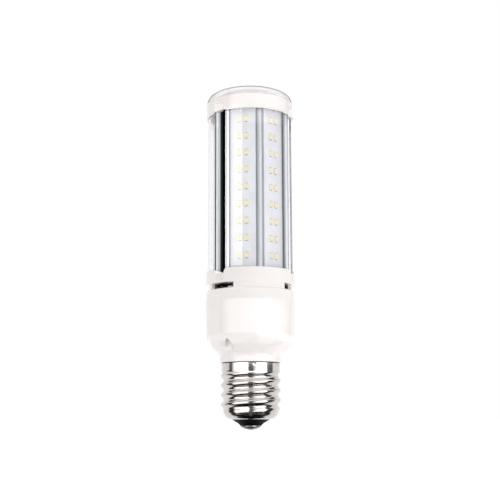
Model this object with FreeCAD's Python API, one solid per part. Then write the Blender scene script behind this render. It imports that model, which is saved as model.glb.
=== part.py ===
import FreeCAD, Part
import os
from math import asin, atan2, cos, degrees, pi, radians, sin, sqrt, tan

# Corn LED bulb with a large screw base, standing on its tip: z = 0 is the end of the centre contact,
# the axis of the lamp is Z, and module 1 faces -Y. All lengths are in millimetres, angles in degrees.

# Outside of the lamp's body, which the other outside radii follow
body_radius = 29.9
wall_taper = 0.6
band_taper = 0.5
collar_inset = 0.2
cap_inset = 0.1
lens_inset = 0.4
cover_inset = 1.4

# Screw base
thread_pitch = 6.35
thread_crest = 19.55
thread_root = 17.9
thread_turns = 4
thread_first = 13.4
bead_half_width = 3.05
bead_sink = 0.1
bead_samples = 8
shell_wall = 0.6
shell_mouth = 12.6
shell_bottom = 6.9
collar_radius = 19.35
tongue_step = 0.2
collar_from = 36.6
contact_radius = 7.0
contact_height = 2.9
contact_edge = 0.6
stem_radius = 2.2
stem_bore = 1.2
insulator_kink_radius = 8.5
insulator_kink_z = 4.3

# Driver housing
neck_bottom = 43.9
neck_radius = 20.3
neck_top = 49.6
neck_round = 0.5
shoulder_round = 14.0
shoulder_z = 63.0
band_from = 84.0
band_step = 0.15
housing_top = 91.4
housing_top_round = 1.4
housing_wall = 1.5
spigot_bottom = 24.0
spigot_wall = 2.2
socket_depth = 3.0

# Screws that hold the housing to the collar, in deep wells in the shoulder
well_inset = 4.3
well_radius = 2.9
well_angle = -47.5
well_floor = 66.0
well_floor_wall = 2.5
well_wall = 1.4
pillar_radius = 3.2
screw_radius = 1.2
screw_head_radius = 2.2
screw_head_height = 1.7
screw_head_edge = 0.7
screw_point = 1.8
screw_grip = 11.0
recess_radius = 1.0
recess_depth = 0.9
recess_half_width = 0.25

# Collar with lid, vent posts and module cups
lid_thickness = 3.0
lid_hole = 4.0
vent_height = 3.6
post_inset = 1.8
post_wall = 2.3
post_boss_wall = 1.2
post_half_angle = 38.3
deck_thickness = 2.0
deck_opening = 11.0
window_inner = 12.0
window_half_angle = 26.0
cup_height = 9.3
cup_depth = 5.7
rim_height = 1.5
groove_half_angle = 9.0
groove_depth = 4.5
groove_margin = 3.0
groove_round = 3.0
lip_round = 2.6
dip_depth = 2.6

# Modules: three heat sinks, each with two boards and one clear cover
module_count = 3
facet_angle = 30.0
seat_inset = 6.8
web_thickness = 1.4
board_thickness = 1.2
board_spine_gap = 2.63
board_wall_gap = 2.55
board_end_gap = 1.0
side_wall = 1.0
corner_cut = 1.1
rail_width = 1.2
rail_height = 1.5
ledge_thickness = 1.0
ledge_inset = 5.3
cover_wall = 1.2
cover_half_angle = 50.0
skirt_wall = 1.0
fin_count = 3
fin_pitch = 4.4
fin_thickness = 1.2
fin_depth = 10.2
spine_inset = 4.5
spine_radius = 2.1
spine_bore = 1.25
module_top_inset = 5.2
body_height = 106.7

# Light-emitting chips
chip_width = 2.8
chip_height = 3.5
chip_thickness = 0.7
chip_rows = 9
chip_column_pitch = 4.7
chip_margin_low = 15.7
chip_margin_high = 11.26

# Top cap and lens
cap_height = 10.1
cap_lip_height = 0.9
cap_lip = 0.2
cap_deck = 3.0
cap_groove_height = 6.9
cap_rim_wall = 1.8
cap_hole = 5.0
reflector_inset = 8.1
reflector_wall = 1.2
reflector_rise = 5.4
top_board_gap = 2.7
top_board_thickness = 1.5
top_board_hole = 3.0
top_chip_circle = 10.5
top_chip_count = 6
lens_edge_round = 6.6
lens_edge_sweep = 75.0
lens_wall = 1.5
lens_rise = 2.3
lens_skirt = 1.4
lens_skirt_depth = 1.5

# Driver board and what stands on it
driver_thickness = 1.6
driver_back = 0.4
driver_gap = 1.2
driver_foot_half_width = 13.0
driver_foot = 40.0
driver_waist = 64.0
driver_top = 87.0
rib_width = 1.5
rib_reach = 2.2
transformer_width = 20.0
transformer_height = 18.0
transformer_depth = 16.0
transformer_z = 67.0
core_leg = 5.0
winding_round = 1.2
film_width = 10.5
film_height = 14.0
film_depth = 6.0
film_x = -17.0
film_z = 70.0
can_radius = 5.0
can_height = 18.0
can_x = 15.5
can_z = 69.0
can_bead = 0.5
choke_radius = 4.6
choke_waist = 3.4
choke_length = 9.0
choke_x = -6.0
choke_z = 55.0
bridge_width = 7.0
bridge_height = 7.0
bridge_depth = 3.0
bridge_x = 6.5
bridge_z = 50.0
transistor_width = 10.0
transistor_height = 9.0
transistor_depth = 4.6
transistor_x = 14.0
transistor_z = 72.0
fuse_radius = 2.0
fuse_length = 9.0
fuse_z = 44.0
lead_radius = 0.7
lead_spacing = 2.4
lead_overlap = 5.0
lead_rise = 8.0
jumper_radius = 0.5
jumper_bend = 1.5
jumper_overlap = 4.0
jumper_inner = 14.5
jumper_hole = 0.9

# Clearances
slide_fit = 0.1
seat_fit = 0.05
screw_fit = 0.3
rail_fit = 0.08

# Places that follow from the sizes above
wall_radius_high = body_radius
wall_radius_low = body_radius - wall_taper
band_radius_top = body_radius - band_taper
collar_outer = body_radius - collar_inset
cap_outer = body_radius - cap_inset
lens_radius = body_radius - lens_inset
cover_outer = body_radius - cover_inset
well_circle = body_radius - well_inset
cup_inner = collar_outer - cup_depth
groove_apex = collar_outer - groove_depth
cap_rim_inner = cap_outer - cap_rim_wall
vent_top = housing_top + vent_height
deck_top = vent_top + deck_thickness
collar_top = vent_top + cup_height
cap_bottom = collar_top + body_height
cap_top = cap_bottom + cap_height
module_top = cap_bottom + module_top_inset
cap_deck_top = module_top + cap_deck
seat_distance = cover_outer - seat_inset
ledge_distance = cover_outer - ledge_inset
spine_distance = cover_outer - spine_inset
fin_tip = seat_distance - fin_depth
board_face = seat_distance + board_thickness
skirt_outer = cover_outer * sin(radians(cover_half_angle - facet_angle))
board_inner_edge = seat_distance * tan(radians(facet_angle)) - board_spine_gap
board_outer_edge = skirt_outer - board_wall_gap
chip_first_row = deck_top + chip_margin_low
chip_row_pitch = (module_top - chip_margin_high - chip_first_row) / (chip_rows - 1)
post_outer = collar_outer - post_inset
post_inner = post_outer - post_wall
window_outer = cup_inner + seat_fit
reflector_radius = lens_radius - reflector_inset
top_board_radius = reflector_radius - reflector_wall - top_board_gap
skirt_inner = skirt_outer - skirt_wall
rail_outer = skirt_inner - rail_fit
rail_inner = rail_outer - rail_width
cover_inner = cover_outer - cover_wall
ledge_top = ledge_distance + ledge_thickness
driver_front = driver_back - driver_thickness
housing_bore = wall_radius_low - housing_wall
driver_half_width = housing_bore - driver_gap
shell_bore = thread_root - shell_wall
tongue_radius = collar_radius - tongue_step
collar_bore = tongue_radius - shell_wall
module_angles = [360.0 / module_count * number for number in range(module_count)]
gap_angles = [angle + 180.0 / module_count for angle in module_angles]
well_angles = [angle + well_angle for angle in module_angles]
axis = FreeCAD.Vector(0, 0, 1)
origin = FreeCAD.Vector(0, 0, 0)


def outline(start, *steps):
    """Closed face from lines (x, y) and arcs (x through, y through, x, y)."""
    edges = []
    here = FreeCAD.Vector(start[0], start[1], 0)
    for step in list(steps) + [start]:
        there = FreeCAD.Vector(step[-2], step[-1], 0)
        if len(step) == 4:
            through = FreeCAD.Vector(step[0], step[1], 0)
            edges.append(Part.Arc(here, through, there).toShape())
        elif here.distanceToPoint(there) > 1e-6:
            edges.append(Part.LineSegment(here, there).toShape())
        here = there
    return Part.Face(Part.Wire(edges))


def spun(start, *steps):
    """Solid of revolution about Z from a half section in (radius, height)."""
    face = outline(start, *steps)
    face.rotate(origin, FreeCAD.Vector(1, 0, 0), 90)
    return face.revolve(origin, axis, 360)


def raised(face, low, high):
    """Prism of a flat outline between two heights."""
    solid = face.extrude(FreeCAD.Vector(0, 0, high - low))
    solid.translate(FreeCAD.Vector(0, 0, low))
    return solid


def cylinder(radius, low, high, x=0.0, y=0.0):
    return Part.makeCylinder(radius, high - low, FreeCAD.Vector(x, y, low))


def block(x_low, x_high, y_low, y_high, z_low, z_high):
    corner = FreeCAD.Vector(x_low, y_low, z_low)
    return Part.makeBox(x_high - x_low, y_high - y_low, z_high - z_low, corner)


def turned(shape, angle):
    copy = shape.copy()
    copy.rotate(origin, axis, angle)
    return copy


def mirrored(shape):
    return shape.mirror(origin, FreeCAD.Vector(1, 0, 0))


def on_circle(radius, angle):
    """Place on a circle, with angle 0 at -Y and growing towards +X."""
    return radius * sin(radians(angle)), -radius * cos(radians(angle))


def arc_point(centre, radius, angle):
    """Point of an arc in a half section, with angle 0 along the radius."""
    return centre[0] + radius * cos(radians(angle)), centre[1] + radius * sin(radians(angle))


def sector(inner, outer, half_angle, low, high):
    """Curved block about -Y."""
    ends = [on_circle(inner, half_angle), on_circle(outer, half_angle)]
    starts = [on_circle(inner, -half_angle), on_circle(outer, -half_angle)]
    face = outline(starts[0], (0, -inner) + ends[0], ends[1], (0, -outer) + starts[1])
    return raised(face, low, high)


def wire_along(points, bend, radius):
    """Round wire through corner points, in straight runs joined by arcs."""
    corners = [FreeCAD.Vector(*point) for point in points]
    pieces = []
    here = corners[0]
    for before, corner, after in zip(corners, corners[1:], corners[2:]):
        inward = (before - corner).normalize()
        onward = (after - corner).normalize()
        half_turn = inward.getAngle(onward) / 2
        reach = bend / tan(half_turn)
        start = corner + inward * reach
        pieces.append(straight_run(here, start, radius))
        centre = corner + (inward + onward).normalize() * (bend / sin(half_turn))
        disc = Part.Face(Part.Wire(Part.makeCircle(radius, start, inward)))
        turn = 180 - 2 * degrees(half_turn)
        pieces.append(disc.revolve(centre, onward.cross(inward), turn))
        here = corner + onward * reach
    pieces.append(straight_run(here, corners[-1], radius))
    return pieces[0].fuse(pieces[1:]).removeSplitter()


def straight_run(start, end, radius):
    return Part.makeCylinder(radius, start.distanceToPoint(end), start, end - start)


def group(solids):
    return Part.makeCompound(solids)


def centre_contact():
    dome_edge = contact_height - contact_edge
    half_way = dome_point((contact_radius, 0), dome_edge, 0.5)
    stem_top = shell_bottom + thread_root - shell_mouth + stem_radius / 2
    return spun(
        (0, 0),
        (half_way[0], dome_edge - half_way[1], contact_radius, dome_edge),
        (contact_radius, contact_height),
        (stem_radius, contact_height),
        (stem_radius, stem_top),
        (stem_bore, stem_top),
        (stem_bore, contact_height),
        (0, contact_height),
    )


def base_insulator():
    mouth = shell_mouth - slide_fit
    bowl_round = shell_bore - slide_fit - mouth
    bowl_top = shell_bottom + shell_wall + slide_fit + bowl_round
    centre = (mouth, bowl_top)
    bore = stem_radius + slide_fit
    return spun(
        (bore, contact_height),
        (contact_radius, contact_height),
        (insulator_kink_radius, insulator_kink_z),
        (mouth, shell_bottom),
        (mouth, bowl_top - bowl_round),
        arc_point(centre, bowl_round, -45) + arc_point(centre, bowl_round, 0),
        (bore, bowl_top),
    )


def thread_bead():
    """Rounded thread ridge wound up the shell, with its foot sunk in the root."""
    sunk = thread_root - bead_sink
    height = thread_crest - sunk
    curve_points = []
    for number in range(bead_samples + 1):
        along = bead_half_width * (2 * number / bead_samples - 1)
        rise = height * (1 + cos(pi * along / bead_half_width)) / 2
        curve_points.append(FreeCAD.Vector(sunk + rise, 0, along))
    ridge = Part.BSplineCurve()
    ridge.interpolate(curve_points)
    inner = shell_bore + shell_wall / 3
    low = FreeCAD.Vector(inner, 0, -bead_half_width)
    high = FreeCAD.Vector(inner, 0, bead_half_width)
    sides = [Part.LineSegment(curve_points[-1], high), Part.LineSegment(high, low)]
    sides.append(Part.LineSegment(low, curve_points[0]))
    section = Part.Wire([ridge.toShape()] + [side.toShape() for side in sides])
    helix = Part.makeHelix(thread_pitch, thread_pitch * thread_turns, thread_root)
    bead = Part.Wire(helix.Edges).makePipeShell([section], True, True)
    bead.translate(FreeCAD.Vector(0, 0, thread_first))
    return bead


def thread_envelope(low):
    """Room that the thread may fill: a cone at each end fades the ridge out."""
    fade_low = thread_first + thread_pitch / 4
    fade_high = collar_from - thread_pitch * 3 / 4
    beyond = thread_crest + shell_wall
    return spun(
        (0, low),
        (thread_root + seat_fit, low),
        (thread_root + seat_fit, fade_low),
        (beyond, fade_low + thread_pitch),
        (beyond, fade_high),
        (collar_radius, collar_from),
        (0, collar_from),
    )


def screw_shell():
    """Thin shell in three stretches: round bowl, threaded wall and plain collar."""
    bowl_round = thread_root - shell_mouth
    bowl_top = shell_bottom + bowl_round
    centre = (shell_mouth, bowl_top)
    inner_round = bowl_round - shell_wall
    top = neck_bottom + socket_depth
    bowl = spun(
        (shell_mouth, shell_bottom),
        arc_point(centre, bowl_round, -45) + (thread_root, bowl_top),
        (shell_bore, bowl_top),
        arc_point(centre, inner_round, -45) + (shell_mouth, shell_bottom + shell_wall),
    )
    wall = cylinder(thread_root, shell_bottom, top).fuse(thread_bead())
    wall = wall.common(thread_envelope(bowl_top)).cut(cylinder(shell_bore, bowl_top, collar_from))
    collar = spun(
        (shell_bore, collar_from),
        (collar_radius, collar_from),
        (collar_radius, neck_bottom),
        (tongue_radius, neck_bottom),
        (tongue_radius, top),
        (collar_bore, top),
        (collar_bore, collar_from + shell_wall),
        (shell_bore, collar_from + shell_wall),
    )
    return bowl.fuse([wall, collar]).removeSplitter()


def driver_housing():
    centre = (wall_radius_low - shoulder_round, shoulder_z)
    foot_angle = degrees(asin((shoulder_z - neck_top) / shoulder_round))
    band_radius = wall_radius_high - band_step
    rim = band_radius_top - housing_top_round
    rim_centre = (rim, housing_top - housing_top_round)
    spigot = shell_bore - slide_fit
    spigot_high = collar_bore - slide_fit
    spigot_step = collar_from + shell_wall + slide_fit
    socket_top = neck_bottom + socket_depth + seat_fit
    body = spun(
        (0, spigot_bottom),
        (spigot, spigot_bottom),
        (spigot, spigot_step),
        (spigot_high, spigot_step),
        (spigot_high, socket_top),
        (tongue_radius + slide_fit, socket_top),
        (tongue_radius + slide_fit, neck_bottom),
        (neck_radius - neck_round, neck_bottom),
        arc_point((neck_radius - neck_round, neck_bottom + neck_round), neck_round, -45)
        + (neck_radius, neck_bottom + neck_round),
        (neck_radius, neck_top),
        arc_point(centre, shoulder_round, -foot_angle),
        arc_point(centre, shoulder_round, -foot_angle / 2) + (wall_radius_low, shoulder_z),
        (wall_radius_high, band_from),
        (band_radius, band_from),
        (band_radius_top, housing_top - housing_top_round),
        arc_point(rim_centre, housing_top_round, 45) + (rim, housing_top),
        (0, housing_top),
    )
    inner_round = shoulder_round - housing_wall
    spigot_bore = spigot - spigot_wall
    inner_foot = degrees(asin((shoulder_z - neck_top - housing_wall) / inner_round))
    hollow = spun(
        (0, spigot_bottom),
        (spigot_bore, spigot_bottom),
        (spigot_bore, neck_top + housing_wall),
        arc_point(centre, inner_round, -inner_foot),
        arc_point(centre, inner_round, -inner_foot / 2) + (housing_bore, shoulder_z),
        (housing_bore, housing_top),
        (0, housing_top),
    )
    bosses = []
    wells = []
    for angle in well_angles:
        x, y = on_circle(well_circle, angle)
        boss_top = well_floor + well_floor_wall
        bosses.append(cylinder(well_radius + well_wall, neck_top, boss_top, x, y).common(body))
        wells.append(cylinder(well_radius, neck_bottom, well_floor, x, y))
        wells.append(cylinder(screw_radius + screw_fit, well_floor, boss_top, x, y))
    shell = body.cut(hollow).fuse(bosses + [rib.common(hollow) for rib in guide_ribs()])
    return shell.cut(group(wells)).removeSplitter()


def guide_ribs():
    """Two slotted ribs with a foot that hold the driver board's edges."""
    ribs = []
    near = driver_half_width - rib_reach
    far = housing_bore + housing_wall
    low = driver_front - seat_fit - rib_width
    high = driver_back + seat_fit + rib_width
    for side in (-1, 1):
        x_low, x_high = sorted((side * near, side * far))
        ribs.append(block(x_low, x_high, low, low + rib_width, driver_waist, driver_top))
        ribs.append(block(x_low, x_high, high - rib_width, high, driver_waist, driver_top))
        ribs.append(block(x_low, x_high, low, high, driver_waist - rib_width, driver_waist))
    return ribs


def screw(head_at, tip_at, x, y):
    """Pan-head screw along Z: the head lies beyond head_at, away from the tip."""
    towards = 1 if tip_at > head_at else -1
    length = abs(tip_at - head_at)
    body = spun(
        (0, -screw_head_height),
        (screw_head_radius - screw_head_edge, -screw_head_height),
        (screw_head_radius, screw_head_edge - screw_head_height),
        (screw_head_radius, 0),
        (screw_radius, 0),
        (screw_radius, length - screw_point),
        (0, length),
    )
    drive = cylinder(recess_radius, -screw_head_height, recess_depth - screw_head_height)
    cross = []
    for angle in (0, 90):
        slot = block(-recess_half_width, recess_half_width, -recess_radius, recess_radius,
                     -screw_head_height, 0)
        cross.append(turned(slot, angle))
    body = body.cut(group(cross).common(drive))
    if towards < 0:
        body.rotate(origin, FreeCAD.Vector(1, 0, 0), 180)
    body.translate(FreeCAD.Vector(x, y, head_at))
    return body


def screws(circle, angles, head_at, tip_at):
    return group([screw(head_at, tip_at, *on_circle(circle, angle)) for angle in angles])


def module_pocket(low, high):
    """Room for one module's end, about -Y."""
    edge = skirt_outer + slide_fit
    outer = cover_outer + slide_fit
    shoulder = sqrt(outer ** 2 - edge ** 2)
    far = facet_point(edge, shoulder)
    near = facet_point(edge, fin_tip)
    face = outline(
        (-near[0], near[1]),
        near,
        far,
        (0, -outer) + (-far[0], far[1]),
    )
    return raised(face, low, high)


def facet_point(along, out):
    """Point of a module's right half: along the board, and out from the axis."""
    turn = radians(facet_angle)
    return along * cos(turn) + out * sin(turn), along * sin(turn) - out * cos(turn)


def groove_mouth():
    """How far out the groove's cutter reaches, and half its width there."""
    reach = collar_outer + groove_margin
    side = collar_outer * sin(radians(groove_half_angle))
    depth = collar_outer * cos(radians(groove_half_angle)) - groove_apex
    return reach, side * (reach - groove_apex) / depth


def gap_groove(low, high):
    """Groove between two modules, about -Y: sharp inside, with its outer corners rounded off."""
    reach, spread = groove_mouth()
    opening = atan2(spread, reach - groove_apex)
    inside = collar_outer - groove_round
    turn = opening - asin((groove_apex * sin(opening) - groove_round) / inside)
    centre = (inside * sin(turn), -inside * cos(turn))
    wall = degrees(opening) - 180
    face_side = degrees(turn) - 90
    foot = arc_point(centre, groove_round, wall)
    middle = arc_point(centre, groove_round, (wall + face_side) / 2)
    end = arc_point(centre, groove_round, face_side)
    far = (reach * sin(turn), -reach * cos(turn))
    face = outline(
        (0, -groove_apex),
        foot,
        middle + end,
        far,
        (-far[0], far[1]),
        (-end[0], end[1]),
        (-middle[0], middle[1], -foot[0], foot[1]),
    )
    return raised(face, low, high)


def gap_dip(edge, inward):
    """Shallow dip across a level edge between two modules, about -Y; inward is 1 up or -1 down."""
    reach = collar_outer + groove_margin
    side = collar_outer * sin(radians(groove_half_angle)) + groove_round / 2
    beyond = -inward * slide_fit
    face = outline((-side, beyond), (side, beyond), (side, 0), (0, inward * dip_depth), (-side, 0))
    face.rotate(origin, FreeCAD.Vector(1, 0, 0), 90)
    dip = face.extrude(FreeCAD.Vector(0, window_inner - reach, 0))
    dip.translate(FreeCAD.Vector(0, -window_inner, edge))
    return dip


def groove_lips(edge):
    """Cutter that rounds off both walls of a groove where they end at a level top edge."""
    reach, spread = groove_mouth()
    along = FreeCAD.Vector(spread, groove_apex - reach, 0).normalize()
    across = axis.cross(along)
    centre = (lip_round, -lip_round)
    face = outline(
        (-slide_fit, slide_fit),
        (lip_round, slide_fit),
        (lip_round, 0),
        arc_point(centre, lip_round, 135) + (0, -lip_round),
        (-slide_fit, -lip_round),
    )
    cutter = raised(face, -groove_depth, 2 * groove_depth)
    frame = FreeCAD.Matrix(across.x, 0, along.x, 0, across.y, 0, along.y, -groove_apex, 0, 1, 0, edge)
    cutter.Placement = FreeCAD.Placement(frame).multiply(cutter.Placement)
    return group([cutter, mirrored(cutter)])


def lower_collar():
    lid = cylinder(housing_bore - slide_fit, housing_top - lid_thickness, housing_top)
    lid = lid.cut(cylinder(lid_hole, housing_top - lid_thickness, housing_top))
    posts = []
    for angle in module_angles:
        posts.append(turned(sector(post_inner, post_outer, post_half_angle, housing_top, vent_top), angle))
        x, y = on_circle(spine_distance, angle)
        boss_radius = screw_head_radius + screw_fit + post_boss_wall
        posts.append(cylinder(boss_radius, housing_top, vent_top, x, y))
    ring = cylinder(collar_outer, vent_top, collar_top)
    ring = ring.cut(cylinder(deck_opening, vent_top, deck_top))
    cuts = [cylinder(cup_inner, deck_top, collar_top)]
    window = sector(window_inner, window_outer, window_half_angle, vent_top, deck_top)
    for angle in module_angles:
        cuts.append(turned(module_pocket(deck_top, collar_top), angle))
        x, y = on_circle(spine_distance, angle)
        cuts.append(cylinder(screw_radius + screw_fit, vent_top, deck_top, x, y))
    for angle in gap_angles:
        cuts.append(turned(window, angle))
        cuts.append(turned(gap_groove(vent_top + rim_height, collar_top), angle))
        cuts.append(turned(gap_dip(collar_top, -1), angle))
        cuts += turned(groove_lips(collar_top), angle).Solids
    for cut in cuts:
        ring = ring.cut(cut)
    pillars = []
    pilots = []
    pillar_bottom = well_floor + well_floor_wall
    inside = cylinder(housing_bore - slide_fit, pillar_bottom, housing_top)
    for angle in well_angles:
        x, y = on_circle(well_circle, angle)
        pillar_top = housing_top - lid_thickness / 2
        pillars.append(cylinder(pillar_radius, pillar_bottom, pillar_top, x, y).common(inside))
        pilots.append(cylinder(screw_radius + seat_fit, pillar_bottom, housing_top - lid_thickness, x, y))
    whole = ring.fuse([lid] + posts + pillars)
    for angle in module_angles:
        x, y = on_circle(spine_distance, angle)
        pilots.append(cylinder(screw_head_radius + screw_fit, housing_top - lid_thickness, vent_top, x, y))
    return whole.cut(group(pilots)).removeSplitter()


def half_section():
    """Right half of the heat sink's section, in its own board's directions."""
    slope = tan(radians(facet_angle))
    back = seat_distance - web_thickness
    wall_inner = skirt_outer - side_wall
    rail_top = ledge_top + rail_height
    points = [
        (-seat_distance * slope, seat_distance),
        (wall_inner, seat_distance),
        (wall_inner, ledge_distance),
        (rail_inner, ledge_distance),
        (rail_inner, rail_top),
        (rail_outer, rail_top),
        (rail_outer, ledge_top),
        (skirt_outer, ledge_top),
        (skirt_outer, back + corner_cut),
        (skirt_outer - corner_cut, back),
    ]
    for number in range(fin_count):
        middle = fin_pitch * ((fin_count - 1) / 2 - number)
        right = middle + fin_thickness / 2
        left = middle - fin_thickness / 2
        points += [(right, back), (right, fin_tip), (left, fin_tip), (left, back)]
    points.append((-back * slope, back))
    return [facet_point(*point) for point in points]


def heat_sink():
    half = raised(outline(*half_section()), deck_top, module_top)
    spine = cylinder(spine_radius, deck_top, module_top, 0, -spine_distance)
    bore = cylinder(spine_bore, deck_top, module_top, 0, -spine_distance)
    return half.fuse([mirrored(half), spine]).cut(bore).removeSplitter()


def led_board():
    low = deck_top + board_end_gap
    high = module_top - board_end_gap
    board = block(-board_inner_edge, board_outer_edge, -board_face, -seat_distance, low, high)
    return turned(board, facet_angle)


def chip():
    """One chip lying in the XY plane at the origin, its face up."""
    half_width = chip_width / 2
    half_height = chip_height / 2
    return block(-half_width, half_width, -half_height, half_height, 0, chip_thickness)


def led_chips():
    middle = (board_outer_edge - board_inner_edge) / 2
    chips = []
    for row in range(chip_rows):
        for side in (-1, 1):
            one = chip()
            one.rotate(origin, FreeCAD.Vector(1, 0, 0), 90)
            x = middle + side * chip_column_pitch / 2
            one.translate(FreeCAD.Vector(x, -board_face, chip_first_row + row * chip_row_pitch))
            chips.append(turned(one, facet_angle))
    return group(chips)


def clear_cover():
    outer = sqrt(cover_outer ** 2 - skirt_outer ** 2)
    inner = sqrt(cover_inner ** 2 - skirt_inner ** 2)
    skirt_foot = ledge_top + slide_fit
    right = [facet_point(skirt_outer, outer), facet_point(skirt_outer, skirt_foot)]
    right += [facet_point(skirt_inner, skirt_foot), facet_point(skirt_inner, inner)]
    left = [(-x, y) for x, y in right]
    face = outline(
        left[0],
        (0, -cover_outer) + right[0],
        right[1],
        right[2],
        right[3],
        (0, -cover_inner) + left[3],
        left[2],
        left[1],
    )
    return raised(face, deck_top, module_top)


def top_cap():
    lip_top = cap_bottom + cap_lip_height
    body = spun(
        (0, cap_bottom),
        (cap_outer - cap_lip, cap_bottom),
        (cap_outer, cap_bottom + cap_lip_height / 2, cap_outer - cap_lip, lip_top),
        (cap_outer - cap_lip, cap_top - cap_lip),
        (cap_outer - 2 * cap_lip, cap_top),
        (0, cap_top),
    )
    cuts = [cylinder(cup_inner, cap_bottom, module_top)]
    cuts.append(cylinder(cap_rim_inner, cap_deck_top, cap_top))
    cuts.append(cylinder(cap_hole, module_top, cap_deck_top))
    for angle in module_angles:
        cuts.append(turned(module_pocket(cap_bottom, module_top), angle))
        x, y = on_circle(spine_distance, angle)
        cuts.append(cylinder(screw_radius + screw_fit, module_top, cap_deck_top, x, y))
        for side in (-1, 1):
            x, y = on_circle(board_face + jumper_radius + seat_fit, angle + side * facet_angle)
            cuts.append(cylinder(jumper_hole, module_top, cap_deck_top, x, y))
    for angle in gap_angles:
        cuts.append(turned(gap_groove(cap_bottom, cap_bottom + cap_groove_height), angle))
        cuts.append(turned(gap_dip(cap_bottom, 1), angle))
    for cut in cuts:
        body = body.cut(cut)
    return body.fuse(reflector_wall_ring()).removeSplitter()


def reflector_wall_ring():
    """White wall round the lights of the top board, with a slot for each board's jumper."""
    high = cap_top + reflector_rise
    ring = cylinder(reflector_radius, cap_deck_top, high)
    ring = ring.cut(cylinder(reflector_radius - reflector_wall, cap_deck_top, high))
    slot_top = cap_deck_top + top_board_thickness + 2 * jumper_hole
    slot = block(-jumper_hole, jumper_hole, -reflector_radius - reflector_wall, 0, cap_deck_top, slot_top)
    for angle in module_angles:
        for side in (-1, 1):
            ring = ring.cut(turned(slot, angle + side * facet_angle))
    return ring


def top_led_board():
    low = cap_deck_top
    board = cylinder(top_board_radius, low, low + top_board_thickness)
    return board.cut(cylinder(top_board_hole, low, low + top_board_thickness))


def top_led_chips():
    chips = []
    for number in range(top_chip_count):
        one = chip()
        one.translate(FreeCAD.Vector(0, -top_chip_circle, cap_deck_top + top_board_thickness))
        chips.append(turned(one, 360.0 / top_chip_count * number))
    return group(chips)


def dome_point(edge, rise, share):
    """Point of a dome about Z that rises from an edge, at a share of the way to its peak."""
    radius = (edge[0] ** 2 + rise ** 2) / (2 * rise)
    turn = asin(edge[0] / radius) * (1 - share)
    return radius * sin(turn), edge[1] + rise - radius * (1 - cos(turn))


def top_lens():
    centre = (lens_radius - lens_edge_round, cap_top)
    inner_round = lens_edge_round - lens_wall
    skirt_outer_radius = cap_rim_inner - slide_fit
    skirt_inner_radius = skirt_outer_radius - lens_skirt
    brow = arc_point(centre, lens_edge_round, lens_edge_sweep)
    inner_brow = arc_point(centre, inner_round, lens_edge_sweep)
    inner_start = degrees(asin(lens_skirt / 4 / inner_round))
    inner_foot = arc_point(centre, inner_round, inner_start)
    peak = brow[1] + lens_rise
    inner_peak = peak - lens_wall
    return spun(
        (skirt_outer_radius, cap_top - lens_skirt_depth),
        (skirt_outer_radius, cap_top),
        (lens_radius, cap_top),
        arc_point(centre, lens_edge_round, lens_edge_sweep / 2) + brow,
        dome_point(brow, lens_rise, 0.5) + (0, peak),
        (0, inner_peak),
        dome_point(inner_brow, inner_peak - inner_brow[1], 0.5) + inner_brow,
        arc_point(centre, inner_round, (lens_edge_sweep + inner_start) / 2) + inner_foot,
        (skirt_inner_radius, inner_foot[1]),
        (skirt_inner_radius, cap_top - lens_skirt_depth),
    )


def driver_board():
    face = outline(
        (-driver_foot_half_width, driver_foot),
        (driver_foot_half_width, driver_foot),
        (driver_foot_half_width, driver_waist),
        (driver_half_width, driver_waist),
        (driver_half_width, driver_top),
        (-driver_half_width, driver_top),
        (-driver_half_width, driver_waist),
        (-driver_foot_half_width, driver_waist),
    )
    face.rotate(origin, FreeCAD.Vector(1, 0, 0), 90)
    board = face.extrude(FreeCAD.Vector(0, driver_thickness, 0))
    board.translate(FreeCAD.Vector(0, driver_front, 0))
    return board


def transformer_core():
    """Two ferrite halves, closed round the winding at left, right, top and bottom."""
    half = transformer_width / 2
    low = transformer_z
    high = low + transformer_height
    near = driver_front - core_leg / 2
    depth = transformer_depth - core_leg
    frame = block(-half, half, near - depth, near, low, high)
    window = block(core_leg - half, half - core_leg, near - depth, near, low + core_leg, high - core_leg)
    return frame.cut(window)


def transformer_winding():
    """Bobbin with its winding, standing on the board and filling the core's window."""
    half = transformer_width / 2 - core_leg - slide_fit
    low = transformer_z + core_leg + slide_fit
    high = transformer_z + transformer_height - core_leg - slide_fit
    winding = block(-half, half, driver_front - transformer_depth, driver_front, low, high)
    edges = [edge for edge in winding.Edges if abs(edge.tangentAt(edge.FirstParameter).y) > 0.5]
    return winding.makeFillet(winding_round, edges)


def film_capacitor():
    half = film_width / 2
    body = block(film_x - half, film_x + half, driver_front - film_depth, driver_front,
                 film_z, film_z + film_height)
    edges = [edge for edge in body.Edges if abs(edge.tangentAt(edge.FirstParameter).y) > 0.5]
    return body.makeFillet(film_depth / 6, edges)


def output_capacitor():
    """Upright can with the rolled groove above its seal and a rounded rim."""
    groove = can_z + 3 * can_bead
    can = spun(
        (0, can_z),
        (can_radius, can_z),
        (can_radius, groove),
        (can_radius - can_bead, groove + can_bead) + (can_radius, groove + 2 * can_bead),
        (can_radius, can_z + can_height - can_bead),
        (can_radius - can_bead, can_z + can_height),
        (0, can_z + can_height),
    )
    can.translate(FreeCAD.Vector(can_x, driver_front - can_radius - seat_fit, 0))
    return can


def filter_choke():
    """Drum core on its side, flange to the board."""
    flange = choke_length / 6
    drum = spun(
        (0, 0),
        (choke_radius, 0),
        (choke_radius, flange),
        (choke_waist, flange),
        (choke_waist, choke_length - flange),
        (choke_radius, choke_length - flange),
        (choke_radius, choke_length),
        (0, choke_length),
    )
    drum.rotate(origin, FreeCAD.Vector(1, 0, 0), 90)
    drum.translate(FreeCAD.Vector(choke_x, driver_front, choke_z))
    return drum


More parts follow.
